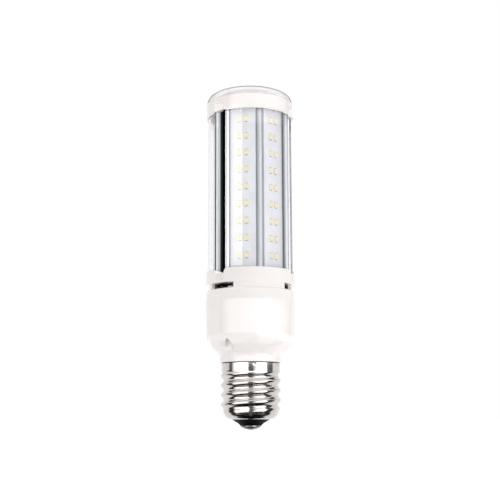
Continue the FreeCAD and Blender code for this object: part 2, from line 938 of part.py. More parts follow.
def bridge_rectifier():
    half = bridge_width / 2
    body = block(bridge_x - half, bridge_x + half, driver_front - bridge_depth, driver_front,
                 bridge_z, bridge_z + bridge_height)
    return body.makeChamfer(bridge_depth / 6, body.Edges)


def switch_transistor():
    """Power transistor lying on the back of the board, with its tab's hole."""
    half = transistor_width / 2
    high = transistor_z + transistor_height
    body = block(transistor_x - half, transistor_x + half, driver_back, driver_back + transistor_depth,
                 transistor_z, high)
    middle = FreeCAD.Vector(transistor_x, driver_back, high - half / 2)
    return body.cut(Part.makeCylinder(half / 3, transistor_depth, middle, FreeCAD.Vector(0, 1, 0)))


def fuse_resistor():
    body = Part.makeCylinder(fuse_radius, fuse_length, FreeCAD.Vector(
        -fuse_length / 2, driver_front - fuse_radius - seat_fit, fuse_z), FreeCAD.Vector(1, 0, 0))
    return body.makeChamfer(fuse_radius / 4, body.Edges)


def contact_lead():
    """From the bore of the contact's stem up to the back of the driver board."""
    back = driver_back + lead_radius + seat_fit
    foot = shell_bottom
    middle = (foot + driver_foot) / 2
    end = driver_foot + lead_overlap
    points = [(0, 0, foot), (0, 0, middle), (0, back, middle + lead_rise), (0, back, end)]
    return wire_along(points, 5 * lead_radius, lead_radius)


def shell_lead():
    """From the back of the driver board down, under the spigot's end, to the inside of the shell."""
    back = driver_back + lead_radius + seat_fit
    x = -driver_foot_half_width + 2 * lead_radius
    low = spigot_bottom - 3 * lead_radius
    reach = -sqrt(shell_bore ** 2 - back ** 2) + lead_radius / 2
    points = [(x, back, driver_foot + lead_overlap), (x, back, low), (reach, back, low)]
    return wire_along(points, 2.5 * lead_radius, lead_radius)


def supply_leads():
    """Two wires from the driver board's back through the hollow middle to the top board."""
    back = driver_back + lead_radius + seat_fit
    low = driver_top - lead_overlap
    high = cap_deck_top + top_board_thickness
    return group([cylinder(lead_radius, low, high, side * lead_spacing / 2, back) for side in (-1, 1)])


def board_jumpers():
    """Wires from the side boards' tops, through the cap's deck, onto the top board."""
    out = board_face + jumper_radius + seat_fit
    low = module_top - board_end_gap - jumper_overlap
    high = cap_deck_top + top_board_thickness + jumper_radius + seat_fit
    wire = wire_along([(0, -out, low), (0, -out, high), (0, -jumper_inner, high)], jumper_bend, jumper_radius)
    wires = []
    for angle in module_angles:
        wires += [turned(wire, angle - facet_angle), turned(wire, angle + facet_angle)]
    return group(wires)


def all_nodes():
    nodes = {
        "centre_contact": centre_contact(),
        "base_insulator": base_insulator(),
        "screw_shell": screw_shell(),
        "driver_housing": driver_housing(),
        "housing_screws": screws(well_circle, well_angles, well_floor, well_floor + screw_grip),
        "lower_collar": lower_collar(),
        "collar_screws": screws(spine_distance, module_angles, vent_top, vent_top + screw_grip),
        "top_cap": top_cap(),
        "cap_screws": screws(spine_distance, module_angles, cap_deck_top, cap_deck_top - screw_grip),
        "top_led_board": top_led_board(),
        "top_led_chips": top_led_chips(),
        "top_lens": top_lens(),
        "driver_board": driver_board(),
        "transformer_core": transformer_core(),
        "transformer_winding": transformer_winding(),
        "film_capacitor": film_capacitor(),
        "output_capacitor": output_capacitor(),
        "filter_choke": filter_choke(),
        "bridge_rectifier": bridge_rectifier(),
        "switch_transistor": switch_transistor(),
        "fuse_resistor": fuse_resistor(),
        "contact_lead": contact_lead(),
        "shell_lead": shell_lead(),
        "supply_leads": supply_leads(),
        "board_jumpers": board_jumpers(),
    }
    sink = heat_sink()
    cover = clear_cover()
    boards = [mirrored(led_board()), led_board()]
    chips = [mirrored(led_chips()), led_chips()]
    for number, angle in enumerate(module_angles):
        nodes[f"heat_sink_{number + 1}"] = turned(sink, angle)
        nodes[f"clear_cover_{number + 1}"] = turned(cover, angle)
        for side in range(2):
            label = 2 * number + side + 1
            nodes[f"led_board_{label}"] = turned(boards[side], angle)
            nodes[f"led_chips_{label}"] = turned(chips[side], angle)
    return nodes


def main():
    os.makedirs("parts", exist_ok=True)
    for name, shape in all_nodes().items():
        shape.exportStep(f"parts/{name}.step")
        print(name, len(shape.Solids), shape.isValid(), round(shape.Volume, 1))


main()
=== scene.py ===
import math

import bmesh
import bpy
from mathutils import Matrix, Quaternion, Vector


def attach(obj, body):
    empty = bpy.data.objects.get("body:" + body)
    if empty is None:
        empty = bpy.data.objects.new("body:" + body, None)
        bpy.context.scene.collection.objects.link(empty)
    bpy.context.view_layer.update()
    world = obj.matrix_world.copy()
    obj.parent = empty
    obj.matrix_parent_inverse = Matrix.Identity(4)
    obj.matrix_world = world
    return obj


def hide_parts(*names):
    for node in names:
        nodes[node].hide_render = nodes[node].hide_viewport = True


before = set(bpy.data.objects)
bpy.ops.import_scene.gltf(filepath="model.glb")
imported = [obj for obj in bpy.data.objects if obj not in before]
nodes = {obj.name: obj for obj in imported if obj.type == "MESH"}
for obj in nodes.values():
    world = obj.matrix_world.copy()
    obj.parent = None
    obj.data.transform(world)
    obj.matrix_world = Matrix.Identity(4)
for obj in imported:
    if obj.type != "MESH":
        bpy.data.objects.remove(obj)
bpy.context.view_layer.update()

# Corn LED bulb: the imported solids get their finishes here, the rolled screw shell and the chips are
# made again as finer meshes, and the neck gets its fillet. Everything is in metres, with Z up the lamp.

mm = 0.001
lampScene = bpy.context.scene
lampScene.view_settings.view_transform = "Standard"
moduleCount = 3  # heat sinks under their covers, round the lamp
boardCount = 2 * moduleCount  # two boards on each module
smoothStep = {"interpolation_type": "SMOOTHSTEP"}
# A colour mix takes its share at socket 0 and its colours at 6 and 7, and gives the colour at output 2
colourMix = {"data_type": "RGBA"}


def linear(hexColour):  # sRGB hex to the linear colour that a shader takes
    channels = [int(hexColour[at:at + 2], 16) / 255 for at in (1, 3, 5)]
    return tuple(c / 12.92 if c <= 0.04045 else ((c + 0.055) / 1.055) ** 2.4 for c in channels) + (1.0,)


def perMetre(sizeMm):  # pattern scale for features of this size
    return 1 / (sizeMm * mm)


def add(tree, kind, settings=None, inputs=None):  # one node with its settings and links
    made = tree.nodes.new(kind)
    for name, value in (settings or {}).items():
        setattr(made, name, value)
    for name, value in (inputs or {}).items():
        if isinstance(value, bpy.types.Node):
            value = value.outputs[0]
        if isinstance(value, bpy.types.NodeSocket):
            tree.links.new(value, made.inputs[name])
        else:
            made.inputs[name].default_value = value
    return made


def newMaterial(name):  # empty node tree, ready for its shader
    made = bpy.data.materials.new(name)
    made.use_nodes = True
    made.node_tree.nodes.clear()
    return made, made.node_tree


pattern = {"driftDetail": 3.0, "driftEnds": (0.35, 0.65), "grainDetail": 4.0}


def lampPattern(tree, sizeMm, detail, stretch):  # soft noise fixed to the lamp's own coordinates
    place = add(tree, "ShaderNodeTexCoord").outputs["Object"]
    spread = add(tree, "ShaderNodeMapping", inputs={"Vector": place, "Scale": stretch})
    return add(tree, "ShaderNodeTexNoise",
               inputs={"Vector": spread, "Scale": perMetre(sizeMm), "Detail": detail}).outputs["Fac"]


def mottled(tree, look, stretch=(1, 1, 1)):  # slow drift between two close colours
    drift = lampPattern(tree, look["driftMm"], pattern["driftDetail"], stretch)
    blend = add(tree, "ShaderNodeValToRGB", inputs={"Fac": drift})
    dark, light = blend.color_ramp.elements
    dark.position, light.position = pattern["driftEnds"]
    dark.color = linear(look["dark"])
    light.color = linear(look["light"])
    return blend


def grain(tree, look, stretch=(1, 1, 1)):  # fine relief as a bump, and the roughness that goes with it
    grit = lampPattern(tree, look["grainMm"], pattern["grainDetail"], stretch)
    bump = add(tree, "ShaderNodeBump", inputs={
        "Strength": look["relief"], "Distance": look["depthMm"] * mm, "Height": grit})
    low, high = look["rough"]
    rough = add(tree, "ShaderNodeMapRange", inputs={"Value": grit, "To Min": low, "To Max": high})
    return bump, rough


def across(tree, measure, span):  # 0 to 1 over a span in mm, by distance from the axis or by height
    place = add(tree, "ShaderNodeTexCoord").outputs["Object"]
    if measure == "radius":
        flat = add(tree, "ShaderNodeVectorMath", {"operation": "MULTIPLY"}, {0: place, 1: (1, 1, 0)})
        length = add(tree, "ShaderNodeVectorMath", {"operation": "LENGTH"}, {0: flat}).outputs["Value"]
    else:
        length = add(tree, "ShaderNodeSeparateXYZ", inputs={0: place}).outputs["Z"]
    return add(tree, "ShaderNodeMapRange", smoothStep, {
        "Value": length, "From Min": span[0] * mm, "From Max": span[1] * mm})


# Moulded white polycarbonate: spark-eroded grain, drawn coarser than life, gives broad soft highlights
whiteLook = {"light": "#f7f2f0", "dark": "#f2edeb", "driftMm": 22.0, "grainMm": 0.45, "depthMm": 0.012,
             "relief": 0.25, "rough": (0.14, 0.2), "ior": 1.58, "shine": 0.5}
# The same with painted shade on the faces inside the vents, below a height and within a radius
ventShadeLook = dict(whiteLook, inside="#4a393b", insideShadeRadius=(24.6, 25.8), insideShadeHeight=(95.6, 96.8))
# Phenolic moulding: black, dense and dull
phenolicLook = dict(whiteLook, light="#0c0c0d", dark="#070708", driftMm=4.0, grainMm=0.3, depthMm=0.01,
                    rough=(0.45, 0.55), shine=0.03)


def mouldedPlastic(name, look):
    material, tree = newMaterial(name)
    colour = mottled(tree, look)
    # painted shade: the inside colour on faces within the vents, where shade falls
    if "inside" in look:
        clearOfShade = add(tree, "ShaderNodeMath", {"operation": "MAXIMUM"}, {
            0: across(tree, "radius", look["insideShadeRadius"]), 1: across(tree, "height", look["insideShadeHeight"])})
        colour = add(tree, "ShaderNodeMix", colourMix, {
            0: clearOfShade, 6: linear(look["inside"]), 7: colour}).outputs[2]
    bump, rough = grain(tree, look)
    shader = add(tree, "ShaderNodeBsdfPrincipled", inputs={
        "Base Color": colour, "Roughness": rough, "IOR": look["ior"],
        "Specular IOR Level": look["shine"], "Normal": bump})
    add(tree, "ShaderNodeOutputMaterial", inputs={"Surface": shader})
    return material


whitePolycarbonate = mouldedPlastic("moulded white polycarbonate", whiteLook)
ventShadedPolycarbonate = mouldedPlastic("white polycarbonate with painted vent shade", ventShadeLook)
blackPhenolic = mouldedPlastic("black phenolic moulding", phenolicLook)

# Clear extruded polycarbonate: glossy, with faint draw lines along its length; lamps shine through it
clearLook = {"tint": "#fcfcfd", "grainMm": 0.9, "depthMm": 0.004, "relief": 0.05, "rough": (0.02, 0.05),
             "ior": 1.52, "stretch": (1, 1, 0.03)}
# Clear moulded polycarbonate: the same without draw lines
lensLook = dict(clearLook, grainMm=8.0, relief=0.0, stretch=(1, 1, 1))


def clearPlastic(name, look):
    material, tree = newMaterial(name)
    bump, rough = grain(tree, look, look["stretch"])
    shader = add(tree, "ShaderNodeBsdfPrincipled", inputs={
        "Base Color": linear(look["tint"]), "Roughness": rough, "IOR": look["ior"],
        "Transmission Weight": 1.0, "Normal": bump})
    path = add(tree, "ShaderNodeLightPath").outputs
    passes = add(tree, "ShaderNodeMath", {"operation": "MAXIMUM"}, {
        0: path["Is Shadow Ray"], 1: path["Is Diffuse Ray"]})
    through = add(tree, "ShaderNodeBsdfTransparent", inputs={"Color": linear(look["tint"])})
    mixed = add(tree, "ShaderNodeMixShader", inputs={0: passes, 1: shader, 2: through})
    add(tree, "ShaderNodeOutputMaterial", inputs={"Surface": mixed})
    return material


clearPolycarbonate = clearPlastic("clear extruded polycarbonate", clearLook)
clearLens = clearPlastic("clear moulded polycarbonate", lensLook)

# Nickel plate on drawn steel: a near mirror with faint rolling marks round the shell, and a painted
# shadow at the height where it enters the neck
nickelLook = {"light": "#d0cbc8", "dark": "#c5c1be", "driftMm": 9.0, "grainMm": 0.5, "depthMm": 0.003,
              "relief": 0.15, "rough": (0.14, 0.2), "stretch": (0.15, 0.15, 1),
              "neckShadow": "#0b0b0b", "neckShadowHeight": (43.5, 43.0)}


def nickelPlate(name, look):
    material, tree = newMaterial(name)
    # painted shadow: near black where the shell goes into the neck
    plain = across(tree, "height", look["neckShadowHeight"])
    colour = add(tree, "ShaderNodeMix", colourMix, {
        0: plain, 6: linear(look["neckShadow"]), 7: mottled(tree, look)}).outputs[2]
    bump, rough = grain(tree, look, look["stretch"])
    shader = add(tree, "ShaderNodeBsdfPrincipled", inputs={
        "Base Color": colour, "Metallic": 1.0, "Roughness": rough, "Normal": bump})
    add(tree, "ShaderNodeOutputMaterial", inputs={"Surface": shader})
    return material


nickel = nickelPlate("nickel-plated drawn steel", nickelLook)

# Extruded aluminium: satin mill finish with die lines along its length, with painted shade deep in the
# gaps between the modules, and weaker painted shade in the screw channel in the middle of each
aluminiumLook = {"light": "#e8ebee", "dark": "#dadde1", "driftMm": 5.0, "grainMm": 0.35, "depthMm": 0.02,
                 "relief": 0.35, "rough": (0.34, 0.48), "driftStretch": (1, 1, 0.05), "stretch": (1, 1, 0.01),
                 "groove": "#17191b", "grooveRadius": (24.4, 26.9), "channel": 0.52,
                 "gapToModule": (-0.2, 0.5)}


def extrudedAluminium(name, look):
    material, tree = newMaterial(name)
    place = add(tree, "ShaderNodeTexCoord").outputs["Object"]
    at = add(tree, "ShaderNodeSeparateXYZ", inputs={0: place}).outputs
    turn = add(tree, "ShaderNodeMath", {"operation": "ARCTAN2"}, {0: at["Y"], 1: at["X"]})
    turns = add(tree, "ShaderNodeMath", {"operation": "MULTIPLY"}, {0: turn, 1: moduleCount})
    wave = add(tree, "ShaderNodeMath", {"operation": "SINE"}, {0: turns})  # -1 in a gap, 1 mid module
    gap, module = look["gapToModule"]
    inside = add(tree, "ShaderNodeMapRange", smoothStep, {"Value": wave, "From Min": gap, "From Max": module})
    channel = add(tree, "ShaderNodeMath", {"operation": "MULTIPLY"}, {0: inside, 1: look["channel"]})
    # painted shade: dark deep in the gaps between modules, weaker in the screw channel
    lit = add(tree, "ShaderNodeMath", {"operation": "MAXIMUM"}, {
        0: across(tree, "radius", look["grooveRadius"]), 1: channel})
    colour = add(tree, "ShaderNodeMix", colourMix, {
        0: lit, 6: linear(look["groove"]), 7: mottled(tree, look, look["driftStretch"])}).outputs[2]
    bump, rough = grain(tree, look, look["stretch"])
    shader = add(tree, "ShaderNodeBsdfPrincipled", inputs={
        "Base Color": colour, "Metallic": 1.0, "Roughness": rough, "Normal": bump})
    add(tree, "ShaderNodeOutputMaterial", inputs={"Surface": shader})
    return material


aluminium = extrudedAluminium("extruded aluminium", aluminiumLook)

# Smaller finishes: grain size and depth as shares of the colour drift, then relief and roughness
trim = {"grain": 1 / 8, "depth": 1 / 400, "relief": 0.2, "roughSpread": 0.06}


def plainFinish(name, light, dark, driftMm, roughness, metallic=0.0):  # inner parts and small trim
    look = {"light": light, "dark": dark, "driftMm": driftMm, "grainMm": driftMm * trim["grain"],
            "depthMm": driftMm * trim["depth"], "relief": trim["relief"],
            "rough": (roughness - trim["roughSpread"], roughness + trim["roughSpread"])}
    material, tree = newMaterial(name)
    bump, rough = grain(tree, look)
    shader = add(tree, "ShaderNodeBsdfPrincipled", inputs={
        "Base Color": mottled(tree, look), "Metallic": metallic, "Roughness": rough, "Normal": bump})
    add(tree, "ShaderNodeOutputMaterial", inputs={"Surface": shader})
    return material


# White solder mask is even and half matt; chip packages are a warmer white; plated metal is dulled by touch
solderMask = plainFinish("white solder mask", "#eff0f4", "#e7e8ec", 9.0, 0.4)
chipPackage = plainFinish("white chip package", "#f4f3ee", "#ecebe4", 1.0, 0.45)
contactTin = plainFinish("tinned contact", "#939597", "#7b7d80", 2.0, 0.34, 1.0)
zincSteel = plainFinish("zinc-plated steel", "#c9cbcc", "#aeb1b3", 1.5, 0.32, 1.0)
# Yellow phosphor in silicone, slightly uneven from dispensing, and the grey fillets that hold a chip
phosphor = plainFinish("phosphor in silicone", "#fff1b6", "#fae9a4", 1.2, 0.4)
solder = plainFinish("tin solder fillet", "#b9b2a6", "#968f84", 0.6, 0.35, 1.0)

# Driver and wires inside the lamp: laminate, ferrite, tape, moulded cases and silicone sleeves
innerFinishes = {
    "driver_board": plainFinish("epoxy glass laminate", "#3f7a4c", "#2f6a3d", 6.0, 0.4),
    "transformer_core": plainFinish("pressed ferrite", "#3a3b3d", "#2c2d2f", 2.0, 0.6),
    "filter_choke": plainFinish("coated ferrite", "#34363a", "#26282b", 2.0, 0.5),
    "transformer_winding": plainFinish("polyester winding tape", "#e8c23c", "#d8b02f", 3.0, 0.35),
    "film_capacitor": plainFinish("moulded capacitor case", "#b8342c", "#a52c25", 3.0, 0.4),
    "output_capacitor": plainFinish("shrunk sleeve", "#24292f", "#191d22", 3.0, 0.35),
    "bridge_rectifier": plainFinish("black moulded package", "#1e1f21", "#151617", 1.5, 0.5),
    "switch_transistor": plainFinish("black transistor package", "#1e1f21", "#151617", 1.5, 0.5),
    "fuse_resistor": plainFinish("flameproof resistor coat", "#7fa3b8", "#6f93a9", 1.5, 0.55),
    "contact_lead": plainFinish("silicone lead, black", "#202122", "#161718", 2.0, 0.5),
    "shell_lead": plainFinish("silicone lead, white", "#ecebe8", "#dfdedb", 2.0, 0.5),
    "supply_leads": plainFinish("silicone lead, red", "#b9302a", "#a32823", 2.0, 0.5),
    "board_jumpers": plainFinish("silicone lead, white thin", "#ecebe8", "#dfdedb", 2.0, 0.5),
}
lampFinishes = {
    "driver_housing": whitePolycarbonate, "top_cap": whitePolycarbonate, "lower_collar": ventShadedPolycarbonate,
    "screw_shell": nickel, "centre_contact": contactTin, "base_insulator": blackPhenolic,
    "top_lens": clearLens, "top_led_board": solderMask, "top_led_chips": chipPackage,
    "cap_screws": zincSteel, "collar_screws": zincSteel, "housing_screws": zincSteel,
    **{f"heat_sink_{module + 1}": aluminium for module in range(moduleCount)},
    **{f"clear_cover_{module + 1}": clearPolycarbonate for module in range(moduleCount)},
    **{f"led_board_{board + 1}": solderMask for board in range(boardCount)},
    **{f"led_chips_{board + 1}": chipPackage for board in range(boardCount)},
}
for node, finish in {**lampFinishes, **innerFinishes}.items():
    nodes[node].data.materials.clear()
    nodes[node].data.materials.append(finish)
print("finishes are on", len(nodes), "nodes")


def newGroup(name, inputs):  # geometry node group with named inputs and their socket kinds
    tree = bpy.data.node_groups.new(name, "GeometryNodeTree")
    for label, kind in {"Geometry": "Geometry", **inputs}.items():
        tree.interface.new_socket(label, in_out="INPUT", socket_type="NodeSocket" + kind)
    tree.interface.new_socket("Geometry", in_out="OUTPUT", socket_type="NodeSocketGeometry")
    return tree, add(tree, "NodeGroupInput").outputs


def closeGroup(tree, geometry):  # instances made real, then out
    real = add(tree, "GeometryNodeRealizeInstances", inputs={"Geometry": geometry})
    add(tree, "NodeGroupOutput", inputs={"Geometry": real})


def linked(name, data):  # new object in the lamp's scene
    made = bpy.data.objects.new(name, data)
    lampScene.collection.objects.link(made)
    return made


def grown(name, base, tree, values):  # plain mesh piece from a base mesh and a geometry node group
    carrier = linked(name + "_carrier", base)
    modifier = carrier.modifiers.new("rule", "NODES")
    modifier.node_group = tree
    sockets = {s.name: s.identifier for s in tree.interface.items_tree if s.in_out == "INPUT"}
    for label, value in values.items():
        modifier[sockets[label]] = value
    evaluated = carrier.evaluated_get(bpy.context.evaluated_depsgraph_get())
    mesh = bpy.data.meshes.new_from_object(evaluated)
    mesh.name = name
    carrier.modifiers.remove(modifier)
    bpy.data.objects.remove(carrier)
    return linked(name, mesh)


def arcPoints(centre, radius, fromAngle, toAngle, count):
    turns = [math.radians(fromAngle + (toAngle - fromAngle) * n / count) for n in range(count + 1)]
    return [(centre[0] + radius * math.cos(t), centre[1] + radius * math.sin(t)) for t in turns]


def straight(start, end, stepMm):  # points after start, up to and with end
    count = max(1, round(math.dist(start, end) / stepMm))
    return [(start[0] + (end[0] - start[0]) * n / count, start[1] + (end[1] - start[1]) * n / count)
            for n in range(1, count + 1)]


def lathe(name, section, around):  # closed section in (radius, height) mm spun about Z
    built = bmesh.new()
    rings = []
    for radius, height in section:
        turns = [2 * math.pi * n / around for n in range(around)]
        rings.append([built.verts.new((radius * mm * math.cos(t), radius * mm * math.sin(t), height * mm))
                      for t in turns])
    for lower, upper in zip(rings, rings[1:] + rings[:1]):
        for n in range(around):
            after = (n + 1) % around
            built.faces.new((lower[n], lower[after], upper[after], upper[n]))
    for face in built.faces:
        face.smooth = True
    mesh = bpy.data.meshes.new(name)
    built.to_mesh(mesh)
    built.free()
    return mesh


# Rolled screw shell: a lathe sheet, inside and out, that the thread rule pushes outwards
shell = {"pitch": 6.35, "first": 13.4, "root": 18.1, "rise": 1.75, "wall": 0.6,
         "mouth": 12.6, "bottom": 6.9, "bowlSteps": 18,
         "collar": 19.4, "collarFrom": 37.4, "flare": 2.2, "flareSteps": 10,
         "neck": 43.9, "tongue": 19.15, "top": 46.9, "tongueRowMm": 1.0, "around": 240, "rowMm": 0.26,
         "fadeFrom": 10.0, "fadeTo": 16.0, "endFrom": 36.0, "endTo": 38.6,
         "stakeCount": 6, "stakeAngle": -8.0, "stakeRadius": 0.9, "stakeDepth": 0.3,
         "stakeRows": (42.3, 16.4)}


def shellSide(inset, s):  # half section from the mouth up to the tongue's top
    bowlRound = s["root"] - s["mouth"]
    bowlTop = s["bottom"] + bowlRound
    points = arcPoints((s["mouth"], bowlTop), bowlRound - inset, -90, 0, s["bowlSteps"])
    foot = s["collarFrom"] - s["flare"] / 2
    points += straight(points[-1], (s["root"] - inset, foot), s["rowMm"])
    for step in range(1, s["flareSteps"] + 1):  # flare from the thread's root to the plain collar
        share = step / s["flareSteps"]
        eased = share * share * (3 - 2 * share)
        points.append((s["root"] + (s["collar"] - s["root"]) * eased - inset, foot + s["flare"] * share))
    points += straight(points[-1], (s["collar"] - inset, s["neck"]), s["rowMm"])
    points += [(s["tongue"] - inset, s["neck"])]
    points += straight(points[-1], (s["tongue"] - inset, s["top"]), s["tongueRowMm"])
    return points


def stakePlaces(s):  # punch marks in two rows hold the shell on what is inside it
    for row in s["stakeRows"]:
        radius = s["collar"] if row > s["collarFrom"] else s["root"]
        for number in range(s["stakeCount"]):
            angle = math.radians(s["stakeAngle"] + 360 / s["stakeCount"] * number)
            yield radius * mm * math.sin(angle), -radius * mm * math.cos(angle), row * mm


def threadRule(s):
    tree, given = newGroup("rolled thread", {
        "Pitch": "Float", "First Turn": "Float", "Rise": "Float", "Fade From": "Float", "Fade To": "Float",
        "End From": "Float", "End To": "Float", "Stake Depth": "Float", "Stake Radius": "Float",
        "Finish": "Material"})
    place = add(tree, "GeometryNodeInputPosition")
    at = add(tree, "ShaderNodeSeparateXYZ", inputs={0: place}).outputs
    angle = add(tree, "ShaderNodeMath", {"operation": "ARCTAN2"}, {0: at["Y"], 1: at["X"]})
    turn = add(tree, "ShaderNodeMath", {"operation": "DIVIDE"}, {0: angle, 1: 2 * math.pi})
    height = add(tree, "ShaderNodeMath", {"operation": "SUBTRACT"}, {0: at["Z"], 1: given["First Turn"]})
    climbed = add(tree, "ShaderNodeMath", {"operation": "DIVIDE"}, {0: height, 1: given["Pitch"]})
    lag = add(tree, "ShaderNodeMath", {"operation": "SUBTRACT"}, {0: climbed, 1: turn})
    phase = add(tree, "ShaderNodeMath", {"operation": "MULTIPLY"}, {0: lag, 1: 2 * math.pi})
    wave = add(tree, "ShaderNodeMath", {"operation": "COSINE"}, {0: phase})  # crests and roots equally round
    ridge = add(tree, "ShaderNodeMath", {"operation": "MULTIPLY_ADD"}, {0: wave, 1: 0.5, 2: 0.5})
    begins = add(tree, "ShaderNodeMapRange", smoothStep, {
        "Value": at["Z"], "From Min": given["Fade From"], "From Max": given["Fade To"]})
    ends = add(tree, "ShaderNodeMapRange", smoothStep, {
        "Value": at["Z"], "From Min": given["End To"], "From Max": given["End From"]})
    raised = add(tree, "ShaderNodeMath", {"operation": "MULTIPLY"}, {0: ridge, 1: given["Rise"]})
    extent = add(tree, "ShaderNodeMath", {"operation": "MULTIPLY"}, {0: begins, 1: ends})
    push = add(tree, "ShaderNodeMath", {"operation": "MULTIPLY"}, {0: raised, 1: extent})
    for mark in stakePlaces(s):
        gap = add(tree, "ShaderNodeVectorMath", {"operation": "DISTANCE"}, {0: place, 1: mark})
        dent = add(tree, "ShaderNodeMapRange", smoothStep, {
            "Value": gap.outputs["Value"], "From Min": given["Stake Radius"], "From Max": 0.0})
        depth = add(tree, "ShaderNodeMath", {"operation": "MULTIPLY"}, {0: dent, 1: given["Stake Depth"]})
        push = add(tree, "ShaderNodeMath", {"operation": "SUBTRACT"}, {0: push, 1: depth})
    outward = add(tree, "ShaderNodeCombineXYZ", inputs={0: at["X"], 1: at["Y"]})
    unit = add(tree, "ShaderNodeVectorMath", {"operation": "NORMALIZE"}, {0: outward})
    shift = add(tree, "ShaderNodeVectorMath", {"operation": "SCALE"}, {0: unit, "Scale": push})
    moved = add(tree, "GeometryNodeSetPosition", inputs={"Geometry": given["Geometry"], "Offset": shift})
    dressed = add(tree, "GeometryNodeSetMaterial", inputs={"Geometry": moved, "Material": given["Finish"]})
    closeGroup(tree, dressed)
    return tree


section = shellSide(0.0, shell) + shellSide(shell["wall"], shell)[::-1]
rolledShell = grown("rolled_screw_shell", lathe("shell_sheet", section, shell["around"]), threadRule(shell), {
    "Pitch": shell["pitch"] * mm, "First Turn": shell["first"] * mm, "Rise": shell["rise"] * mm,
    "Fade From": shell["fadeFrom"] * mm, "Fade To": shell["fadeTo"] * mm,
    "End From": shell["endFrom"] * mm, "End To": shell["endTo"] * mm,
    "Stake Depth": shell["stakeDepth"] * mm, "Stake Radius": shell["stakeRadius"] * mm, "Finish": nickel})
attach(rolledShell, "root")
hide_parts("screw_shell")
print("screw shell is rolled", len(rolledShell.data.polygons))

# Neck fillet: the housing's neck runs into its shoulder in a hollow round
fillet = {"neck": 20.3, "round": 4.0, "shoulderRound": 14.0, "shoulderRadius": 15.3, "shoulderHeight": 63.0,
          "sunk": 0.05, "around": 180, "hollowSteps": 14, "backSteps": 4, "sharpFrom": 35.0}


def filletSection(f):  # hollow arc from the neck to the shoulder, closed just inside them
    out = f["neck"] + f["round"] - f["shoulderRadius"]
    fall = math.sqrt((f["shoulderRound"] + f["round"]) ** 2 - out ** 2)
    lean = math.degrees(math.atan2(fall, out))
    hollow = (f["neck"] + f["round"], f["shoulderHeight"] - fall)
    inner = f["shoulderRound"] - f["sunk"]
    foot = math.degrees(math.acos((f["neck"] - f["sunk"] - f["shoulderRadius"]) / inner))
    points = arcPoints(hollow, f["round"], 180, 180 - lean, f["hollowSteps"])
    points += arcPoints((f["shoulderRadius"], f["shoulderHeight"]), inner, -lean, -foot, f["backSteps"])
    return points + [(f["neck"] - f["sunk"], hollow[1])]


filletMesh = lathe("neck_fillet", filletSection(fillet), fillet["around"])
filletMesh.set_sharp_from_angle(angle=math.radians(fillet["sharpFrom"]))
filletMesh.materials.append(whitePolycarbonate)
neckFillet = linked("neck_fillet", filletMesh)
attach(neckFillet, "root")
print("neck fillet is turned", len(filletMesh.polygons))

# Chips: a white package with a phosphor window and two solder fillets, set out in rows on each board
chips = {"width": 2.8, "height": 3.5, "depth": 0.7, "window": (2.45, 3.05), "sunk": 0.06,
         "fillet": (2.0, 0.3, 0.4), "rows": 9, "columns": 2, "rowPitch": 11.53, "columnPitch": 4.7,
         "firstRow": 112.7, "middle": -1.35, "boardFace": 22.9, "facet": 30.0,
         "topCount": 6, "topCircle": 10.5, "topFace": 220.7}


def boxAt(tree, size, place, material):  # plain box of a size in mm about a place in mm
    cube = add(tree, "GeometryNodeMeshCube", inputs={"Size": tuple(v * mm for v in size)})
    moved = add(tree, "GeometryNodeTransform", inputs={
        "Geometry": cube, "Translation": tuple(v * mm for v in place)})
    return add(tree, "GeometryNodeSetMaterial", inputs={"Geometry": moved, "Material": material}).outputs[0]


def oneChip(tree, c):  # stands at the origin and faces -Y
    wide, high = c["window"]
    rimX = (c["width"] - wide) / 2
    rimZ = (c["height"] - high) / 2
    deep = c["depth"] - c["sunk"]
    filletDeep, filletHigh = c["fillet"][1:]
    boxes = [boxAt(tree, (wide, deep, high), (0, -deep / 2, 0), phosphor)]
    for side in (-1, 1):
        boxes.append(boxAt(tree, (rimX, c["depth"], c["height"]),
                           (side * (wide + rimX) / 2, -c["depth"] / 2, 0), chipPackage))
        boxes.append(boxAt(tree, (wide, c["depth"], rimZ),
                           (0, -c["depth"] / 2, side * (high + rimZ) / 2), chipPackage))
        boxes.append(boxAt(tree, c["fillet"],
                           (0, -filletDeep / 2, side * (c["height"] + filletHigh) / 2), solder))
    joined = add(tree, "GeometryNodeJoinGeometry")
    for box in boxes:
        tree.links.new(box, joined.inputs[0])
    return joined


